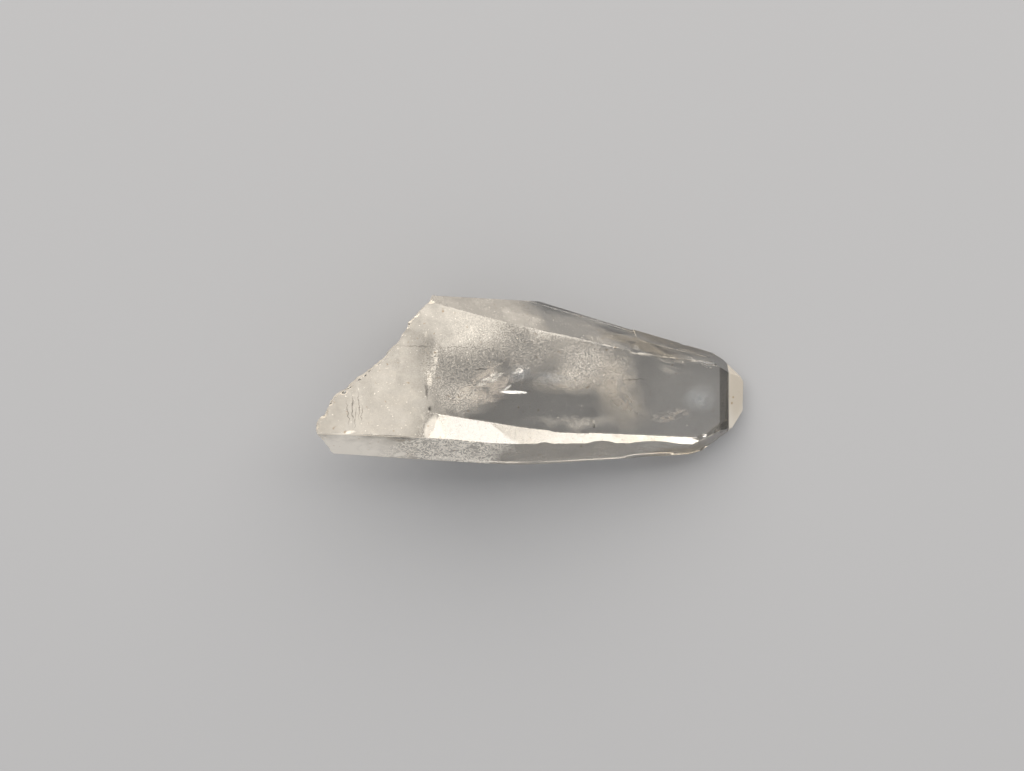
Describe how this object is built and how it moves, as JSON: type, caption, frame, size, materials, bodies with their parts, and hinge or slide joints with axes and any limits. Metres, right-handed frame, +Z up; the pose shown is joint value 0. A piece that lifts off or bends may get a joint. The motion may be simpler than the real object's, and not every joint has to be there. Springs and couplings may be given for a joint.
{
  "type": "quartz crystal",
  "caption": "Clear, tapering quartz crystal with six prism faces, a blunt chisel-shaped tip and a broken base, lying on one face.",
  "frame": {"origin": "under the middle of the crystal's bounding box, on the surface it rests on", "axes": "+X along the crystal from its broken base to its tip, +Z up out of the surface it rests on, +Y to its back"},
  "size_m": [0.0617, 0.0247, 0.0204],
  "materials": {
    "quartz": "clear natural rock crystal, faintly smoky, with milky veils, a frosted broken base and traces of iron stain"
  },
  "bodies": {
    "root": {"quartz_crystal": "quartz"}
  },
  "joints": []
}
